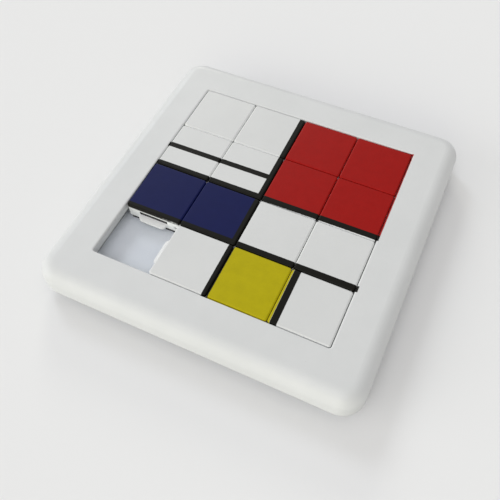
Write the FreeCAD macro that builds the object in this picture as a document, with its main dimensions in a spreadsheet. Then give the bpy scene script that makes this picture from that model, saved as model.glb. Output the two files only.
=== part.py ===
import FreeCAD, Part
import math
import os
import Sketcher

# Sliding tile puzzle: fifteen tiles and one empty cell in a square frame.
#
# The model stands on its four rubber feet. The origin is the centre of the footprint on the
# surface that it stands on, +X runs along the rows, +Y runs up the columns to row 1, +Z is up.
# Row 1 is the row nearest +Y and column 1 the column nearest -X. Millimetres throughout.

GRID = 4
EMPTY_CELL = (4, 1)
FEET = (("front_left", -1, -1), ("front_right", 1, -1), ("back_right", 1, 1), ("back_left", -1, 1))

doc = FreeCAD.newDocument("sliding_tile_puzzle")
sheet = doc.addObject("Spreadsheet::Sheet", "Dimensions")

DIMENSIONS = [
    # The grid of cells
    ("pitch", 14.7, "centre distance of neighbouring tiles, which is also the travel of one move"),
    ("running_gap", 0.16, "gap between neighbouring tiles, and between the tiles and the frame"),
    # Heights, measured up from the surface that the puzzle stands on
    ("foot_height", 3.0, "how far the feet stand out below the frame"),
    ("frame_height", 6.6, "height of the frame, from its back edge to its face"),
    ("floor_depth", 5.2, "depth of the pocket floor below the frame's face"),
    # Frame
    ("frame_side", 80.0, "outer side of the square frame"),
    ("frame_corner", 5.5, "radius of the frame's four corners in plan"),
    ("frame_edge", 3.5, "radius of the rounded outer edge of the face"),
    ("window_corner", 0.6, "radius of the window's corners in plan"),
    ("window_edge", 0.4, "radius of the window's lip"),
    ("face_wall", 1.6, "thickness of the frame's face"),
    ("outer_wall", 1.8, "thickness of the frame's outer wall"),
    ("inner_wall", 2.7, "thickness of the wall around the window"),
    ("rebate_wall", 1.1, "thickness of the rim around the back cover"),
    ("rib_wall", 1.0, "thickness of the ribs in the hollow frame"),
    ("rib_spread", 22.0, "distance of a rib from the middle of its side"),
    ("root", 0.4, "how far a rib, boss, rail or tongue reaches into the wall that it grows from"),
    # Back cover
    ("cover_wall", 1.2, "thickness of the back cover"),
    ("cover_gap", 0.1, "gap around the back cover and around the pocket floor"),
    ("panel_side", 54.0, "side of the shallow square panel in the back"),
    ("panel_corner", 3.0, "radius of that panel's corners"),
    # Tile
    ("tile_corner", 0.6, "radius of a tile's corners in plan"),
    ("tile_edge", 0.4, "radius of a tile's upper edges"),
    ("skirt_height", 3.9, "height of a tile's cap, from its skirt's lower edge to its face"),
    ("tile_plate", 1.3, "thickness of a tile's face"),
    ("skirt_wall", 1.0, "thickness of the skirt on the tongue sides"),
    ("base_inset", 0.3, "how far a tile's base stands back from the sides of its cap"),
    ("catch_inset", 0.1, "how far the catches of a base stand back from the sides of its cap"),
    ("base_play", 0.06, "gap around the parts of a base that lie inside its cap"),
    ("base_rim", 1.2, "thickness of a base's upright rim"),
    ("base_lift", 0.05, "gap between a base and the floor"),
    # Tongues and grooves
    ("tongue_depth", 2.4, "depth of a tongue's upper side below the tile's face"),
    ("tongue_wall", 0.6, "thickness of a tongue"),
    ("tongue_reach", 1.5, "how far a tongue stands out of its tile"),
    ("tongue_width", 7.4, "width of a tongue at its root"),
    ("tongue_round", 1.1, "radius of a tongue's outer corners"),
    ("groove_play", 0.15, "gap above and below a tongue in its groove"),
    ("groove_depth", 1.5, "depth of a groove"),
    ("groove_side", 2.5, "thickness of a tile's side that holds a groove"),
    # Fasteners and feet
    ("screw_reach", 35.1, "distance of a screw from the centre"),
    ("boss_radius", 2.6, "radius of a screw boss"),
    ("pilot_radius", 0.85, "radius of the pilot hole in a boss"),
    ("shank_radius", 1.0, "radius of a screw's thread"),
    ("shank_length", 4.0, "length of a screw below its head"),
    ("clearance_radius", 1.2, "radius of the screw's hole in the cover"),
    ("head_radius", 2.0, "radius of a screw's head"),
    ("head_height", 0.6, "height of a screw's head"),
    ("head_edge", 0.2, "radius of the head's outer edge"),
    ("recess_radius", 2.2, "radius of the recess that holds the head"),
    ("recess_depth", 0.7, "depth of that recess"),
    ("drive_length", 2.2, "length of one arm pair of the cross drive"),
    ("drive_width", 0.5, "width of the cross drive's arms"),
    ("drive_depth", 0.35, "depth of the cross drive"),
    ("foot_reach", 32.5, "distance of a foot's centre from both centre lines"),
    ("foot_radius", 4.0, "radius of a foot"),
    ("foot_edge", 0.8, "radius of a foot's lower edge"),
    ("foot_seat", 0.4, "depth of the seat that a foot is stuck in"),
    ("foot_play", 0.1, "gap around a foot in its seat"),
]

for row, (alias, value, meaning) in enumerate(DIMENSIONS, start=1):
    sheet.set(f"A{row}", alias)
    sheet.set(f"B{row}", str(value))
    sheet.setAlias(f"B{row}", alias)
    sheet.set(f"C{row}", meaning)
doc.recompute()

# Lengths that follow from the driving dimensions, written once as expressions
TOP = "(Dimensions.foot_height + Dimensions.frame_height)"
WINDOW_HALF = f"({GRID / 2} * Dimensions.pitch + Dimensions.running_gap / 2)"
TILE_HALF = "((Dimensions.pitch - Dimensions.running_gap) / 2)"
FRAME_HALF = "(Dimensions.frame_side / 2)"
COVER_HALF = f"({FRAME_HALF} - Dimensions.rebate_wall - Dimensions.cover_gap)"
FLOOR_HALF = f"({WINDOW_HALF} - Dimensions.cover_gap)"
FLOOR_RISE = "(Dimensions.frame_height - Dimensions.floor_depth - Dimensions.cover_wall)"
TONGUE_TOP = "(Dimensions.skirt_height - Dimensions.tongue_depth)"
TONGUE_BOTTOM = f"({TONGUE_TOP} - Dimensions.tongue_wall)"
GROOVE_TOP = f"({TONGUE_TOP} + Dimensions.groove_play)"
GROOVE_BOTTOM = f"({TONGUE_BOTTOM} - Dimensions.groove_play)"
SLOT_TOP = "(Dimensions.skirt_height - Dimensions.tile_plate)"
SLOT_HALF = "(Dimensions.tongue_width / 2 + Dimensions.groove_play)"
# A tile is hollow off its centre, because its sides with a groove are thicker
HOLLOW_NEAR = f"(Dimensions.skirt_wall - {TILE_HALF})"
HOLLOW_FAR = f"({TILE_HALF} - Dimensions.groove_side)"

EPSILON = 1e-4


def number(expression):
    """The value of a sheet expression in millimetres."""
    return float(sheet.evalExpression(expression))


# ---------------------------------------------------------------- sketches and features


def add_sketch(body, name, role, height=None):
    """A sketch on one of the body's own origin planes, raised along its normal by height."""
    sketch = body.newObject("Sketcher::SketchObject", name)
    plane = next(item for item in body.Origin.OriginFeatures if item.Role == role)
    sketch.AttachmentSupport = [(plane, "")]
    sketch.MapMode = "FlatFace"
    if height is not None:
        sketch.setExpression("AttachmentOffset.Base.z", height)
    return sketch


def bind(sketch, kind, geometry, point, expression):
    """Hold one coordinate of a sketch point at a sheet expression, measured from the origin."""
    value = number(expression)
    if abs(value) < EPSILON:
        axis = -2 if kind == "DistanceX" else -1
        sketch.addConstraint(Sketcher.Constraint("PointOnObject", geometry, point, axis))
        return
    index = sketch.addConstraint(Sketcher.Constraint(kind, -1, 1, geometry, point, value))
    sketch.setExpression(f"Constraints[{index}]", expression)


def rectangle(sketch, left, right, bottom, top):
    """A rectangle whose four sides stand at the given sheet expressions."""
    x0, x1, y0, y1 = (number(side) for side in (left, right, bottom, top))
    corners = [(x0, y0), (x1, y0), (x1, y1), (x0, y1)]
    points = [FreeCAD.Vector(x, y, 0) for x, y in corners]
    first = sketch.GeometryCount
    for index in range(4):
        sketch.addGeometry(Part.LineSegment(points[index], points[(index + 1) % 4]), False)
    for index in range(4):
        following = first + (index + 1) % 4
        sketch.addConstraint(Sketcher.Constraint("Coincident", first + index, 2, following, 1))
    for index in (0, 2):
        sketch.addConstraint(Sketcher.Constraint("Horizontal", first + index))
        sketch.addConstraint(Sketcher.Constraint("Vertical", first + index + 1))
    bind(sketch, "DistanceX", first, 1, left)
    bind(sketch, "DistanceX", first + 1, 1, right)
    bind(sketch, "DistanceY", first, 1, bottom)
    bind(sketch, "DistanceY", first + 2, 1, top)


def square(sketch, half, corner=None):
    """A square centred on the sketch's origin, with its corners rounded if corner is given."""
    if corner is None:
        rectangle(sketch, f"-{half}", half, f"-{half}", half)
        return
    side = number(half)
    radius = number(corner)
    inner = side - radius
    normal = FreeCAD.Vector(0, 0, 1)
    first = sketch.GeometryCount
    for quarter in range(4):
        turn = FreeCAD.Rotation(normal, 90 * quarter)
        start = turn.multVec(FreeCAD.Vector(-inner, -side, 0))
        end = turn.multVec(FreeCAD.Vector(inner, -side, 0))
        centre = turn.multVec(FreeCAD.Vector(inner, -inner, 0))
        begin = math.radians(90 * quarter - 90)
        round_corner = Part.Circle(centre, normal, radius)
        sketch.addGeometry(Part.LineSegment(start, end), False)
        sketch.addGeometry(Part.ArcOfCircle(round_corner, begin, begin + math.pi / 2), False)
    for quarter in range(4):
        line = first + 2 * quarter
        arc = line + 1
        following = first + (2 * quarter + 2) % 8
        sketch.addConstraint(Sketcher.Constraint("Tangent", line, 2, arc, 1))
        sketch.addConstraint(Sketcher.Constraint("Tangent", arc, 2, following, 1))
        if quarter:
            sketch.addConstraint(Sketcher.Constraint("Equal", first + 1, arc))
    bind(sketch, "DistanceY", first, 1, f"-{half}")
    bind(sketch, "DistanceX", first + 2, 1, half)
    bind(sketch, "DistanceY", first + 4, 1, half)
    bind(sketch, "DistanceX", first + 6, 1, f"-{half}")
    size = sketch.addConstraint(Sketcher.Constraint("Radius", first + 1, radius))
    sketch.setExpression(f"Constraints[{size}]", corner)


def circle(sketch, x, y, radius):
    """A circle at sheet expressions."""
    centre = FreeCAD.Vector(number(x), number(y), 0)
    index = sketch.addGeometry(Part.Circle(centre, FreeCAD.Vector(0, 0, 1), number(radius)), False)
    bind(sketch, "DistanceX", index, 3, x)
    bind(sketch, "DistanceY", index, 3, y)
    size = sketch.addConstraint(Sketcher.Constraint("Radius", index, number(radius)))
    sketch.setExpression(f"Constraints[{size}]", radius)


def add_pad(body, name, sketch, length, midplane=False, reverse=False):
    pad = body.newObject("PartDesign::Pad", name)
    pad.Profile = sketch
    pad.Midplane = midplane
    pad.Reversed = reverse
    pad.setExpression("Length", length)
    doc.recompute()
    return pad


def add_pocket(body, name, sketch, length=None, midplane=False, reverse=False):
    """A pocket of the given length, or through everything; it has to remove material."""
    before = body.Shape.Volume
    pocket = body.newObject("PartDesign::Pocket", name)
    pocket.Profile = sketch
    pocket.Midplane = midplane
    pocket.Reversed = reverse
    if length is None:
        pocket.Type = "ThroughAll"
    else:
        pocket.setExpression("Length", length)
    doc.recompute()
    if body.Shape.Volume > before - EPSILON:
        raise RuntimeError(f"{body.Label}.{name} removed nothing")
    return pocket


def add_fillet(body, name, base, radius, wanted):
    """Round the edges of base that the test accepts."""
    names = [f"Edge{n}" for n, edge in enumerate(base.Shape.Edges, start=1) if wanted(edge)]
    if not names:
        raise RuntimeError(f"{body.Label}.{name} found no edge")
    fillet = body.newObject("PartDesign::Fillet", name)
    fillet.Base = (base, names)
    fillet.setExpression("Radius", radius)
    doc.recompute()
    return fillet


def is_upright(edge):
    box = edge.BoundBox
    return box.XLength < EPSILON and box.YLength < EPSILON


def is_at_height(edge, height):
    box = edge.BoundBox
    return abs(box.ZMin - height) < EPSILON and abs(box.ZMax - height) < EPSILON


def reach(edge):
    """The larger of the distances that an edge's middle lies from the two centre planes."""
    centre = edge.BoundBox.Center
    return max(abs(centre.x), abs(centre.y))


# ---------------------------------------------------------------- front frame


def make_frame():
    """A hollow moulded frame: face, outer wall, undercut window wall, ribs, bosses and rails."""
    body = doc.addObject("PartDesign::Body", "FrontFrame")
    body.Label = "front_frame"
    height = "Dimensions.frame_height"

    outline = add_sketch(body, "FrameOutline", "XY_Plane")
    square(outline, FRAME_HALF, "Dimensions.frame_corner")
    block = add_pad(body, "FrameBlock", outline, height)
    face = number(height)
    add_fillet(
        body, "FrameEdge", block, "Dimensions.frame_edge", lambda item: is_at_height(item, face)
    )

    window = add_sketch(body, "WindowOutline", "XY_Plane")
    square(window, WINDOW_HALF, "Dimensions.window_corner")
    opening = add_pocket(body, "Window", window, reverse=True)
    half = number(WINDOW_HALF)
    add_fillet(
        body, "WindowLip", opening, "Dimensions.window_edge",
        lambda item: is_at_height(item, face) and reach(item) < half + EPSILON,
    )

    # The rebate that the back cover lies in, and the hollow between the two walls
    rebate = add_sketch(body, "RebateOutline", "XY_Plane")
    square(
        rebate, f"({COVER_HALF} + Dimensions.cover_gap)",
        "(Dimensions.frame_corner - Dimensions.rebate_wall)",
    )
    add_pocket(body, "Rebate", rebate, "Dimensions.cover_wall", reverse=True)
    hollow = add_sketch(body, "HollowOutline", "XY_Plane")
    square(
        hollow, f"({FRAME_HALF} - Dimensions.outer_wall)",
        "(Dimensions.frame_corner - Dimensions.outer_wall)",
    )
    square(hollow, f"({WINDOW_HALF} + Dimensions.inner_wall)")
    add_pocket(body, "Hollow", hollow, f"{height} - Dimensions.face_wall", reverse=True)

    # Screw bosses at the middle of each side, and two ribs on each side
    seat = "Dimensions.cover_wall"
    inside = f"{height} - Dimensions.cover_wall - Dimensions.face_wall + Dimensions.root"
    bosses = add_sketch(body, "BossOutline", "XY_Plane", seat)
    circle(bosses, "0", "Dimensions.screw_reach", "Dimensions.boss_radius")
    boss = add_pad(body, "Boss", bosses, inside)
    ribs = add_sketch(body, "RibOutline", "XY_Plane", seat)
    for side in (-1, 1):
        middle = f"{side} * Dimensions.rib_spread"
        rectangle(
            ribs, f"{middle} - Dimensions.rib_wall / 2", f"{middle} + Dimensions.rib_wall / 2",
            f"{WINDOW_HALF} + Dimensions.inner_wall - Dimensions.root",
            f"{FRAME_HALF} - Dimensions.outer_wall + Dimensions.root",
        )
    rib = add_pad(body, "Ribs", ribs, inside)
    pilots = add_sketch(body, "PilotOutline", "XY_Plane", seat)
    circle(pilots, "0", "Dimensions.screw_reach", "Dimensions.pilot_radius")
    pilot = add_pocket(
        body, "Pilot", pilots, f"{height} - Dimensions.cover_wall - Dimensions.face_wall",
        reverse=True,
    )
    around = body.newObject("PartDesign::PolarPattern", "FourSides")
    around.Originals = [boss, rib, pilot]
    around.Axis = (outline, ["N_Axis"])
    around.Angle = 360
    around.Occurrences = 4
    body.Tip = around
    doc.recompute()

    # The walls at -X and -Y are undercut down to the floor to take the tiles' tongues; rails at
    # +X and +Y enter the tiles' own grooves. Heights are the tiles', counted down from the face.
    groove_top = f"({height} - Dimensions.skirt_height + {GROOVE_TOP})"
    rail_top = f"({height} - Dimensions.skirt_height + {TONGUE_TOP})"
    rail_bottom = f"({height} - Dimensions.skirt_height + {TONGUE_BOTTOM})"
    length = f"2 * {WINDOW_HALF}"
    undercut = add_sketch(body, "UndercutOutline", "XY_Plane", seat)
    far_side = f"-({WINDOW_HALF} + Dimensions.groove_depth)"
    rectangle(undercut, far_side, WINDOW_HALF, far_side, WINDOW_HALF)
    add_pocket(body, "Undercut", undercut, f"{groove_top} - {seat}", reverse=True)
    for name, role in (("RailRight", "XZ_Plane"), ("RailFar", "YZ_Plane")):
        rail = add_sketch(body, name + "Outline", role)
        rectangle(
            rail, f"{WINDOW_HALF} - Dimensions.tongue_reach",
            f"{WINDOW_HALF} + Dimensions.root", rail_bottom, rail_top,
        )
        add_pad(body, name, rail, length, midplane=True)

    body.Placement.Base.z = number("Dimensions.foot_height")
    return body


# ---------------------------------------------------------------- back cover


def make_cover():
    """The plate that closes the back; its raised middle is the floor that the tiles slide on."""
    body = doc.addObject("PartDesign::Body", "BackCover")
    body.Label = "back_cover"
    wall = "Dimensions.cover_wall"

    outline = add_sketch(body, "CoverOutline", "XY_Plane")
    square(outline, COVER_HALF, f"({COVER_HALF} - {FRAME_HALF} + Dimensions.frame_corner)")
    add_pad(body, "CoverPlate", outline, wall)

    floor = add_sketch(body, "FloorOutline", "XY_Plane", wall)
    far_side = f"-({FLOOR_HALF} + Dimensions.groove_depth)"
    rectangle(floor, far_side, FLOOR_HALF, far_side, FLOOR_HALF)
    add_pad(body, "Floor", floor, FLOOR_RISE)

    panel = add_sketch(body, "PanelOutline", "XY_Plane")
    square(panel, "(Dimensions.panel_side / 2)", "Dimensions.panel_corner")
    add_pocket(body, "Panel", panel, FLOOR_RISE, reverse=True)

    holes = add_sketch(body, "ScrewHoles", "XY_Plane")
    recesses = add_sketch(body, "HeadRecesses", "XY_Plane")
    reach_x = "Dimensions.screw_reach"
    for x, y in (("0", reach_x), ("0", f"-{reach_x}"), (reach_x, "0"), (f"-{reach_x}", "0")):
        circle(holes, x, y, "Dimensions.clearance_radius")
        circle(recesses, x, y, "Dimensions.recess_radius")
    add_pocket(body, "ScrewHole", holes, reverse=True)
    add_pocket(body, "HeadRecess", recesses, "Dimensions.recess_depth", reverse=True)

    seats = add_sketch(body, "FootSeats", "XY_Plane")
    for x_side in (-1, 1):
        for y_side in (-1, 1):
            circle(
                seats, f"{x_side} * Dimensions.foot_reach", f"{y_side} * Dimensions.foot_reach",
                "Dimensions.foot_radius + Dimensions.foot_play",
            )
    add_pocket(body, "FootSeat", seats, "Dimensions.foot_seat", reverse=True)

    body.Placement.Base.z = number("Dimensions.foot_height")
    return body


# ---------------------------------------------------------------- tiles


def make_tile(row, column):
    """A tile's cap: hollow below, with tongues at -X and -Y and grooves at +X and +Y."""
    body = doc.addObject("PartDesign::Body", f"Tile{row}{column}")
    body.Label = f"tile_row{row}_col{column}"
    height = "Dimensions.skirt_height"
    prefix = body.Name

    outline = add_sketch(body, prefix + "Outline", "XY_Plane")
    square(outline, TILE_HALF, "Dimensions.tile_corner")
    block = add_pad(body, prefix + "Block", outline, height)
    face = number(height)
    add_fillet(
        body, prefix + "Edges", block, "Dimensions.tile_edge",
        lambda item: is_at_height(item, face),
    )

    hollow = add_sketch(body, prefix + "HollowOutline", "XY_Plane")
    rectangle(hollow, HOLLOW_NEAR, HOLLOW_FAR, HOLLOW_NEAR, HOLLOW_FAR)
    add_pocket(body, prefix + "Hollow", hollow, SLOT_TOP, reverse=True)

    # Grooves run the whole length of the sides at +X and +Y
    for name, role in (("GrooveX", "XZ_Plane"), ("GrooveY", "YZ_Plane")):
        groove = add_sketch(body, prefix + name + "Outline", role)
        rectangle(
            groove, f"{TILE_HALF} - Dimensions.groove_depth",
            f"{TILE_HALF} + Dimensions.groove_depth", GROOVE_BOTTOM, GROOVE_TOP,
        )
        add_pocket(body, prefix + name, groove, "2 * Dimensions.pitch", midplane=True)

    # A slot through the skirt lies above each tongue
    for name, role, reverse in (("SlotY", "XZ_Plane", True), ("SlotX", "YZ_Plane", False)):
        slot = add_sketch(body, prefix + name + "Outline", role)
        rectangle(slot, f"-{SLOT_HALF}", SLOT_HALF, TONGUE_TOP, SLOT_TOP)
        add_pocket(body, prefix + name, slot, TILE_HALF, reverse=reverse)

    # The tongues, rooted in the skirt
    root = f"-({TILE_HALF} - Dimensions.root)"
    tip = f"-({TILE_HALF} + Dimensions.tongue_reach)"
    side = "Dimensions.tongue_width / 2"
    tongues = add_sketch(body, prefix + "TongueOutline", "XY_Plane", TONGUE_BOTTOM)
    rectangle(tongues, f"-{side}", side, tip, root)
    rectangle(tongues, tip, root, f"-{side}", side)
    tongue = add_pad(body, prefix + "Tongues", tongues, "Dimensions.tongue_wall")
    tip_reach = -number(tip)
    tongue_height = number("Dimensions.tongue_wall")
    add_fillet(
        body, prefix + "TongueCorners", tongue, "Dimensions.tongue_round",
        lambda item: is_upright(item) and abs(reach(item) - tip_reach) < EPSILON
        and abs(item.Length - tongue_height) < EPSILON,
    )

    place_in_cell(body, row, column)
    return body


def make_base(row, column):
    """A tile's base: a sole below the cap's skirt, a rim inside it, and a catch in each slot."""
    body = doc.addObject("PartDesign::Body", f"Base{row}{column}")
    body.Label = f"base_row{row}_col{column}"
    prefix = body.Name
    play = "Dimensions.base_play"

    stand = "(Dimensions.floor_depth - Dimensions.skirt_height - Dimensions.base_lift)"
    sole = add_sketch(body, prefix + "SoleOutline", "XY_Plane", f"-{stand}")
    square(sole, f"({TILE_HALF} - Dimensions.base_inset)", "Dimensions.tile_corner")
    add_pad(body, prefix + "Sole", sole, stand)

    near = f"{HOLLOW_NEAR} + {play}"
    far = f"{HOLLOW_FAR} - {play}"
    rim = add_sketch(body, prefix + "RimOutline", "XY_Plane")
    rectangle(rim, near, far, near, far)
    inner_near = f"{near} + Dimensions.base_rim"
    inner_far = f"{far} - Dimensions.base_rim"
    rectangle(rim, inner_near, inner_far, inner_near, inner_far)
    add_pad(body, prefix + "Rim", rim, f"{SLOT_TOP} - {play}")

    catches = add_sketch(body, prefix + "CatchOutline", "XY_Plane", f"{TONGUE_TOP} + {play}")
    tip = f"-({TILE_HALF} - Dimensions.catch_inset)"
    root = f"{near} + Dimensions.root"
    side = f"({SLOT_HALF} - {play})"
    rectangle(catches, f"-{side}", side, tip, root)
    rectangle(catches, tip, root, f"-{side}", side)
    add_pad(body, prefix + "Catches", catches, f"{SLOT_TOP} - {TONGUE_TOP} - 2 * {play}")

    place_in_cell(body, row, column)
    return body


def place_in_cell(body, row, column):
    """Put a part of a tile, modelled with its skirt's lower edge at Z = 0, into its cell."""
    pitch = number("Dimensions.pitch")
    body.Placement.Base = FreeCAD.Vector(
        (column - (GRID + 1) / 2) * pitch,
        ((GRID + 1) / 2 - row) * pitch,
        number(f"{TOP} - Dimensions.skirt_height"),
    )


# ---------------------------------------------------------------- fasteners and feet


def add_cylinder(name, radius, height, x, y, z):
    cylinder = doc.addObject("Part::Cylinder", name)
    cylinder.setExpression("Radius", radius)
    cylinder.setExpression("Height", height)
    for axis, value in (("x", x), ("y", y), ("z", z)):
        cylinder.setExpression(f"Placement.Base.{axis}", value)
    return cylinder


def add_edge_round(name, base, radius, height):
    """Round the edge of a cylinder that lies at the given height."""
    size = number(radius)
    rounded = doc.addObject("Part::Fillet", name)
    rounded.Base = base
    rounded.Edges = [
        (n, size, size)
        for n, edge in enumerate(base.Shape.Edges, start=1) if is_at_height(edge, height)
    ]
    return rounded


def make_screws():
    """Four pan-head screws with a cross drive, one at the middle of each side."""
    screws = []
    seat = "(Dimensions.foot_height + Dimensions.recess_depth)"
    under_head = f"({seat} - Dimensions.head_height)"
    reach_out = "Dimensions.screw_reach"
    places = (("0", reach_out), ("0", f"-{reach_out}"), (reach_out, "0"), (f"-{reach_out}", "0"))
    for index, (x, y) in enumerate(places, start=1):
        head = add_cylinder(
            f"Head{index}", "Dimensions.head_radius", "Dimensions.head_height", x, y, under_head
        )
        doc.recompute()
        rounded = add_edge_round(
            f"RoundedHead{index}", head, "Dimensions.head_edge", number(under_head)
        )
        shank = add_cylinder(
            f"Shank{index}", "Dimensions.shank_radius", "Dimensions.shank_length", x, y, seat
        )
        whole = doc.addObject("Part::MultiFuse", f"Screw{index}")
        whole.Shapes = [rounded, shank]
        arms = []
        for name, length, width in (
            ("DriveX", "Dimensions.drive_length", "Dimensions.drive_width"),
            ("DriveY", "Dimensions.drive_width", "Dimensions.drive_length"),
        ):
            arm = doc.addObject("Part::Box", f"{name}{index}")
            arm.setExpression("Length", length)
            arm.setExpression("Width", width)
            arm.setExpression("Height", "Dimensions.drive_depth")
            arm.setExpression("Placement.Base.x", f"{x} - {length} / 2")
            arm.setExpression("Placement.Base.y", f"{y} - {width} / 2")
            arm.setExpression("Placement.Base.z", under_head)
            arms.append(arm)
        drive = doc.addObject("Part::MultiFuse", f"Drive{index}")
        drive.Shapes = arms
        screw = doc.addObject("Part::Cut", f"DrivenScrew{index}")
        screw.Base = whole
        screw.Tool = drive
        screws.append(screw)
    group = doc.addObject("Part::Compound", "CoverScrews")
    group.Links = screws
    group.Label = "cover_screws"
    doc.recompute()
    return group


def make_foot(place, x_side, y_side):
    """A round rubber foot, stuck in its seat in the back cover."""
    pad = add_cylinder(
        f"Pad_{place}", "Dimensions.foot_radius", "Dimensions.foot_height + Dimensions.foot_seat",
        f"{x_side} * Dimensions.foot_reach", f"{y_side} * Dimensions.foot_reach", "0",
    )
    doc.recompute()
    foot = add_edge_round(f"Foot_{place}", pad, "Dimensions.foot_edge", 0.0)
    foot.Label = f"rubber_foot_{place}"
    doc.recompute()
    return foot


# ---------------------------------------------------------------- build, check, write


nodes = [make_frame(), make_cover()]
for tile_row in range(1, GRID + 1):
    for tile_column in range(1, GRID + 1):
        if (tile_row, tile_column) != EMPTY_CELL:
            nodes.append(make_tile(tile_row, tile_column))
            nodes.append(make_base(tile_row, tile_column))
nodes.append(make_screws())
for foot_place, foot_x, foot_y in FEET:
    nodes.append(make_foot(foot_place, foot_x, foot_y))
doc.recompute()

for item in doc.Objects:
    if "Invalid" in item.State or "Error" in item.State:
        raise RuntimeError(f"{item.Name} did not recompute: {item.State}")
for node in nodes:
    if node.Shape.isNull() or not node.Shape.isValid():
        raise RuntimeError(f"{node.Label} has no valid shape")

os.makedirs("parts", exist_ok=True)
for node in nodes:
    box = node.Shape.BoundBox
    node.Shape.exportStep(f"parts/{node.Label}.step")
    print(
        f"{node.Label}: {len(node.Shape.Solids)} solids, {node.Shape.Volume:.1f} mm3, "
        f"x {box.XMin:.2f}..{box.XMax:.2f} y {box.YMin:.2f}..{box.YMax:.2f} "
        f"z {box.ZMin:.2f}..{box.ZMax:.2f}"
    )
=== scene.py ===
import math

import bmesh
import bpy
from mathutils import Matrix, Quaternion, Vector


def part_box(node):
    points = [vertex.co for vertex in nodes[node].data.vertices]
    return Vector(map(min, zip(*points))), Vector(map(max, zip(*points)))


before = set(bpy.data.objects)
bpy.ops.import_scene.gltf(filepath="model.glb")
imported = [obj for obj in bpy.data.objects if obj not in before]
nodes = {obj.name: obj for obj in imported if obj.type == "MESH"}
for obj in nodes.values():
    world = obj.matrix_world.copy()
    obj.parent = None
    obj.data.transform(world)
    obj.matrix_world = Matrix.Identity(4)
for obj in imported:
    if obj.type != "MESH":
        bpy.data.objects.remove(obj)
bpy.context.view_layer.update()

# A sliding tile puzzle, face up on a pale floor. Everything is in metres, in the CAD frame: +X runs
# along the rows, +Y up the columns to row 1, +Z up, and the feet stand on Z = 0.

MM = 0.001

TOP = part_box("front_frame")[1].z
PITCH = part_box("tile_row1_col3")[0].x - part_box("tile_row1_col2")[0].x


# ---------------------------------------------------------------- node helpers


class Shader:
    """A material's node tree, with one short method for each kind of node that is used here."""

    def __init__(self, name):
        self.material = bpy.data.materials.new(name)
        self.material.use_nodes = True
        self.tree = self.material.node_tree
        self.surface = self.tree.nodes["Principled BSDF"]

    def node(self, kind, **settings):
        made = self.tree.nodes.new(kind)
        for key, value in settings.items():
            setattr(made, key, value)
        return made

    def put(self, socket, value):
        """Link a socket to another node's output, or set it to a plain value."""
        if isinstance(value, bpy.types.NodeSocket):
            self.tree.links.new(value, socket)
        else:
            socket.default_value = value

    def math(self, operation, first, second=0.0, third=0.0):
        made = self.node("ShaderNodeMath", operation=operation)
        for socket, value in zip(made.inputs, (first, second, third)):
            self.put(socket, value)
        return made.outputs[0]

    def ramp(self, value, low, high, start=0.0, end=1.0):
        """A smooth step: start below low, end above high."""
        made = self.node("ShaderNodeMapRange", interpolation_type="SMOOTHSTEP")
        for key, entry in (
            ("Value", value), ("From Min", low), ("From Max", high), ("To Min", start), ("To Max", end)
        ):
            self.put(made.inputs[key], entry)
        return made.outputs["Result"]

    def mix(self, factor, first, second):
        """A colour mix."""
        made = self.node("ShaderNodeMix", data_type="RGBA")
        self.put(made.inputs["Factor"], factor)
        for socket, value in ((made.inputs[6], first), (made.inputs[7], second)):
            self.put(socket, (*value, 1.0) if isinstance(value, tuple) and len(value) == 3 else value)
        return made.outputs[2]

    def invert(self, value):
        return self.math("SUBTRACT", 1.0, value)

    def place(self):
        """The point's place at rest, in metres, which a moving piece takes along."""
        return self.node("ShaderNodeTexCoord").outputs["Object"]

    def place_parts(self):
        """The X, Y and Z of that place, as outputs with those names."""
        split = self.node("ShaderNodeSeparateXYZ")
        self.put(split.inputs[0], self.place())
        return split.outputs

    def brighten(self, colour, value):
        """The colour with its brightness multiplied by value."""
        made = self.node("ShaderNodeHueSaturation")
        self.put(made.inputs["Color"], colour)
        self.put(made.inputs["Value"], value)
        return made.outputs["Color"]

    def noise(self, scale, detail=2.0, roughness=0.5):
        """Noise with scale features per metre, from 0 to 1."""
        made = self.node("ShaderNodeTexNoise")
        self.put(made.inputs["Vector"], self.place())
        for key, value in (("Scale", scale), ("Detail", detail), ("Roughness", roughness)):
            made.inputs[key].default_value = value
        return made.outputs["Fac"]

    def bump(self, height, distance, strength=1.0, normal=None):
        made = self.node("ShaderNodeBump")
        made.inputs["Distance"].default_value = distance
        made.inputs["Strength"].default_value = strength
        self.put(made.inputs["Height"], height)
        if normal is not None:
            self.put(made.inputs["Normal"], normal)
        return made.outputs["Normal"]

    def shade(self, **values):
        for key, value in values.items():
            socket = self.surface.inputs[key.replace("_", " ").title().replace("Ior", "IOR")]
            self.put(socket, (*value, 1.0) if isinstance(value, tuple) and len(value) == 3 else value)


# ---------------------------------------------------------------- the print on the tiles

# The print is one layer of colour fields and bars over the whole grid. Its sizes are in pitches,
# measured from the middle of the window along the print's own axes, which are turned a little.
PRINT_TURN = 0.0075
PRINT_LEFT, PRINT_RIGHT = -2.01, 2.034
PRINT_BOTTOM, PRINT_TOP = -2.021, 1.994
MAIN_BAR = (-0.093, 0.017)
UPPER_BAR = (0.003, 0.109)
LOWER_BAR = (-1.012, -0.898)
LOWER_BAR_SHORT = -0.988
FIRST_COLUMN_EDGE = -1.0
THIN_BAR = (0.450, 0.556)
SIDE_BAR = (1.032, 1.143)
BLACK = (0.0060, 0.0055, 0.0040)
RED = (0.300, 0.0050, 0.0035)
BLUE = (0.0050, 0.0080, 0.0640)
YELLOW = (0.415, 0.355, 0.0025)
INK_EDGE = 0.004
INK_WOBBLE = 0.008
LIP_FADE = 0.6
INK_TONE = 0.04


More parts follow.
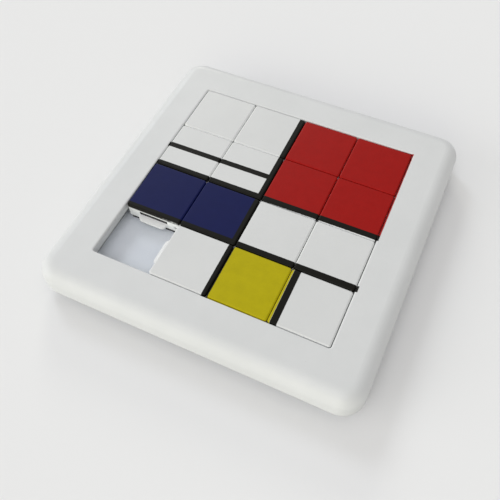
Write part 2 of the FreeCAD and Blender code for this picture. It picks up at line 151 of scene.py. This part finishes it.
def add_print(shader, plain, lip):
    """The colour of a surface with the print on it, and how much of it is inked, from 0 to 1.

    lip is how far below the face the ink reaches down on the edges, in metres.
    """
    place = shader.place_parts()
    x = shader.math("DIVIDE", place["X"], PITCH)
    y = shader.math("DIVIDE", place["Y"], PITCH)
    wobble = shader.math("MULTIPLY_ADD", shader.noise(1800.0, 3.0), INK_WOBBLE, -INK_WOBBLE / 2)
    u = shader.math("ADD", shader.math("MULTIPLY_ADD", y, PRINT_TURN, x), wobble)
    v = shader.math("ADD", shader.math("MULTIPLY_ADD", x, -PRINT_TURN, y), wobble)

    def above(value, edge):
        return shader.ramp(value, edge - INK_EDGE, edge + INK_EDGE)

    def both(first, second):
        return shader.math("MULTIPLY", first, second)

    def between(value, low, high):
        return both(above(value, low), shader.invert(above(value, high)))

    right = above(u, sum(MAIN_BAR) / 2)
    left = shader.invert(right)
    upper = above(v, sum(UPPER_BAR) / 2)
    lowest = shader.invert(above(v, sum(LOWER_BAR) / 2))
    middle = shader.invert(shader.math("ADD", upper, lowest))

    red = both(right, upper)
    blue = both(left, middle)
    yellow = both(both(right, lowest), shader.invert(above(u, SIDE_BAR[0])))
    # Beside the empty cell the lower bar stops on the tile's rounded edge
    first_column = shader.invert(above(u, FIRST_COLUMN_EDGE))
    past_edge = both(first_column, shader.invert(above(v, LOWER_BAR_SHORT)))
    lower_bar = both(between(v, *LOWER_BAR), shader.invert(past_edge))
    bars = between(u, *MAIN_BAR)
    for bar in (
        between(v, *UPPER_BAR), lower_bar, both(between(v, *THIN_BAR), left),
        both(between(u, *SIDE_BAR), lowest),
    ):
        bars = shader.math("MAXIMUM", bars, bar)

    tone = shader.ramp(shader.noise(420.0, 4.0, 0.6), 0.25, 0.75, 1.0 - INK_TONE, 1.0 + INK_TONE)
    colour = plain
    inked = bars
    for field, ink in ((red, RED), (blue, BLUE), (yellow, YELLOW), (bars, BLACK)):
        colour = shader.mix(field, colour, ink)
        inked = shader.math("MAXIMUM", inked, field)
    face = both(between(u, PRINT_LEFT, PRINT_RIGHT), between(v, PRINT_BOTTOM, PRINT_TOP))
    depth = shader.ramp(place["Z"], TOP - lip, TOP - LIP_FADE * lip)
    inked = both(both(inked, face), depth)
    return shader.mix(inked, plain, shader.brighten(colour, tone)), inked


# ---------------------------------------------------------------- materials


# A printed piece's painted highlight, on its upper edges and sides, rises between these depths below
# the face
EDGE_START = 0.02 * MM
EDGE_END = 0.35 * MM
# How strongly unprinted plastic, the bare parts of a printed piece, and ink reflect
PLAIN_SHINE = 0.42
BARE_SHINE = 0.36
INK_SHINE = 0.12
INK_ROUGHER = 0.06
INK_HEIGHT = 0.02 * MM
# Depths of the surface's slow waves and of its grain, and the darkness of its few specks
WAVE_DEPTH = 0.12 * MM
GRAIN_DEPTH = 0.012 * MM
SPECK_SHADE = 0.55
SPECK_STRENGTH = 0.18


def plastic(name, base, dirt, rough, lip=None, edge_highlight=1.0):
    """Moulded plastic: a fine grain, slow waves from cooling, faint grime, print if lip is set.

    lip is how far the ink reaches down, and the last argument is how much a painted highlight
    brightens a printed piece's upper edges and sides over its face.
    """
    shader = Shader(name)
    cloud = shader.ramp(shader.noise(70.0, 4.0, 0.6), 0.30, 0.70)
    colour = shader.mix(cloud, base, dirt)
    specks = shader.ramp(shader.noise(1500.0, 2.0, 0.5), 0.76, 0.80, 0.0, SPECK_STRENGTH)
    colour = shader.mix(specks, colour, tuple(SPECK_SHADE * part for part in base))
    grain = shader.noise(9000.0, 3.0, 0.65)
    waves = shader.noise(160.0, 2.0, 0.4)
    smooth = shader.ramp(shader.noise(500.0, 4.0, 0.6), 0.2, 0.8, rough - 0.05, rough + 0.06)
    normal = shader.bump(waves, WAVE_DEPTH, 0.35)
    normal = shader.bump(grain, GRAIN_DEPTH, 0.5, normal)
    if lip is None:
        shader.shade(specular_ior_level=PLAIN_SHINE)
    else:
        colour, inked = add_print(shader, colour, lip)
        height = shader.place_parts()["Z"]
        # Painted highlight: a printed piece's sides and the rounding of its upper edges are brightened
        painted_edge_highlight = shader.ramp(height, TOP - EDGE_END, TOP - EDGE_START, edge_highlight, 1.0)
        colour = shader.brighten(colour, painted_edge_highlight)
        smooth = shader.math("MULTIPLY_ADD", inked, INK_ROUGHER, smooth)
        normal = shader.bump(inked, INK_HEIGHT, 0.6, normal)
        shine = shader.math("MULTIPLY_ADD", inked, INK_SHINE - BARE_SHINE, BARE_SHINE)
        shader.shade(specular_ior_level=shine)
    shader.shade(base_color=colour, roughness=smooth, normal=normal)
    return shader.material


def steel(name):
    """Zinc-plated screw steel with turning marks."""
    shader = Shader(name)
    marks = shader.noise(6000.0, 3.0, 0.6)
    cloud = shader.ramp(shader.noise(900.0, 3.0), 0.3, 0.7)
    shader.shade(
        base_color=shader.mix(cloud, (0.62, 0.61, 0.58), (0.46, 0.45, 0.43)), metallic=1.0,
        roughness=shader.ramp(marks, 0.3, 0.7, 0.24, 0.42), normal=shader.bump(marks, 0.00002, 0.4),
    )
    return shader.material


def rubber(name):
    """Pale grey rubber, matte, with a fine grain."""
    shader = Shader(name)
    grain = shader.noise(5000.0, 4.0, 0.7)
    cloud = shader.ramp(shader.noise(400.0, 3.0), 0.3, 0.7)
    shader.shade(
        base_color=shader.mix(cloud, (0.47, 0.47, 0.46), (0.38, 0.38, 0.37)),
        roughness=shader.ramp(grain, 0.3, 0.7, 0.70, 0.88), specular_ior_level=0.3,
        normal=shader.bump(grain, 0.00005, 0.6),
    )
    return shader.material


# Each plastic's colour and the colour of its faint grime
FRAME_WHITE = (0.650, 0.657, 0.657)
FRAME_GRIME = (0.624, 0.633, 0.632)
TILE_WHITE = (0.643, 0.649, 0.645)
TILE_GRIME = (0.622, 0.629, 0.625)
# The back cover's white and grime are paler and bluer than the frame's: painted light on the pocket
# floor, which is part of the cover
COVER_WHITE_PAINTED_LIGHT = (0.750, 0.785, 0.830)
COVER_GRIME_AND_PAINTED_LIGHT = (0.725, 0.762, 0.815)

# The tile bases' near-black is painted shade: it darkens the gaps under each tile, where deep shade
# falls
BASE_SHADE_BLACK = (0.009, 0.009, 0.011)
BASE_GRIME_AND_SHADE = (0.012, 0.012, 0.014)
FRAME_LIP = 0.8 * MM
TILE_LIP = 1.2 * MM
# How much the painted highlight brightens the tiles' upper edges and sides
TILE_EDGE_HIGHLIGHT = 1.38

# A node takes the material whose key its name starts with
materials = {
    "front_frame": plastic("frame_plastic", FRAME_WHITE, FRAME_GRIME, 0.42, FRAME_LIP),
    "back_cover": plastic("cover_plastic", COVER_WHITE_PAINTED_LIGHT, COVER_GRIME_AND_PAINTED_LIGHT, 0.50),
    "tile": plastic("tile_plastic", TILE_WHITE, TILE_GRIME, 0.40, TILE_LIP, TILE_EDGE_HIGHLIGHT),
    "base": plastic("base_plastic", BASE_SHADE_BLACK, BASE_GRIME_AND_SHADE, 0.55),
    "cover_screws": steel("screw_steel"),
    "rubber_foot": rubber("foot_rubber"),
}
for name, item in nodes.items():
    kind = next(key for key in materials if name.startswith(key))
    item.data.materials.clear()
    item.data.materials.append(materials[kind])


# ---------------------------------------------------------------- stage


FLOOR_REACH = 3.0


def make_floor():
    """A wide, flat, matte floor with a soft paper grain."""
    mesh = bpy.data.meshes.new("floor")
    shape = bmesh.new()
    bmesh.ops.create_grid(shape, x_segments=12, y_segments=12, size=FLOOR_REACH)
    shape.to_mesh(mesh)
    shape.free()
    floor = bpy.data.objects.new("floor", mesh)
    bpy.context.scene.collection.objects.link(floor)
    shader = Shader("floor_paper")
    cloud = shader.noise(6.0, 3.0)
    shader.shade(
        base_color=shader.mix(cloud, (0.800, 0.800, 0.800), (0.806, 0.806, 0.806)), roughness=0.9,
        specular_ior_level=0.0, normal=shader.bump(shader.noise(2500.0, 3.0), 0.00003, 0.2),
    )
    mesh.materials.append(shader.material)


def add_sun(name, azimuth, elevation, strength, width, colour=(1.0, 1.0, 1.0)):
    """Light from far away; azimuth 0 comes from -Y and 90 from +X, width is its spread in degrees."""
    data = bpy.data.lights.new(name, "SUN")
    data.energy = strength
    data.angle = math.radians(width)
    data.color = colour
    light = bpy.data.objects.new(name, data)
    turn, rise = math.radians(azimuth), math.radians(elevation)
    source = Vector((
        math.sin(turn) * math.cos(rise), -math.cos(turn) * math.cos(rise), math.sin(rise)
    ))
    light.rotation_euler = source.to_track_quat("Z", "Y").to_euler()
    bpy.context.scene.collection.objects.link(light)


def set_sky(strength, colour=(1.0, 1.0, 1.0)):
    world = bpy.data.worlds.new("studio")
    world.use_nodes = True
    background = world.node_tree.nodes["Background"]
    background.inputs["Color"].default_value = (*colour, 1.0)
    background.inputs["Strength"].default_value = strength
    bpy.context.scene.world = world


make_floor()
# Strengths rounded from a fit of the light on the object and the floor, then adjusted
set_sky(0.54, (1.0, 0.99, 0.98))
add_sun("front_high", 0.0, 60.0, 0.61, 40.0, (0.93, 0.93, 1.0))
add_sun("back_left", 210.0, 22.0, 0.58, 16.0, (1.0, 1.0, 0.90))
add_sun("left_key", 232.0, 36.0, 0.56, 16.0, (0.87, 0.93, 1.0))
add_sun("left_low", 300.0, 12.0, 0.80, 40.0)
add_sun("front_left_low", 325.0, 12.0, 0.70, 40.0, (1.0, 1.0, 0.91))
add_sun("front_low", 5.0, 12.0, 0.70, 40.0, (1.0, 0.99, 0.75))


# ---------------------------------------------------------------- camera

# Places in pitches, from the middle of the frame's face
CAMERA_PLACE = Vector((2.558, -5.575, 7.897))
CAMERA_TARGET = Vector((0.261, -0.974, 0.0))
CAMERA_ROLL = -1.70
CAMERA_LENS = 43.2
SENSOR_WIDTH = 36.0
CLIP_NEAR, CLIP_FAR = 0.005, 20.0


def make_camera():
    """Put the camera in its place and look at its target, with a small roll."""
    centre = Vector((0.0, 0.0, TOP))
    data = bpy.data.cameras.new("camera")
    data.sensor_width = SENSOR_WIDTH
    data.lens = CAMERA_LENS
    data.clip_start = CLIP_NEAR
    data.clip_end = CLIP_FAR
    camera = bpy.data.objects.new("camera", data)
    camera.location = centre + CAMERA_PLACE * PITCH
    forward = CAMERA_TARGET - CAMERA_PLACE
    roll = Quaternion((0.0, 0.0, 1.0), math.radians(CAMERA_ROLL))
    camera.rotation_mode = "QUATERNION"
    camera.rotation_quaternion = forward.to_track_quat("-Z", "Y") @ roll
    bpy.context.scene.collection.objects.link(camera)
    bpy.context.scene.camera = camera


make_camera()
bpy.context.scene.view_settings.view_transform = "Standard"
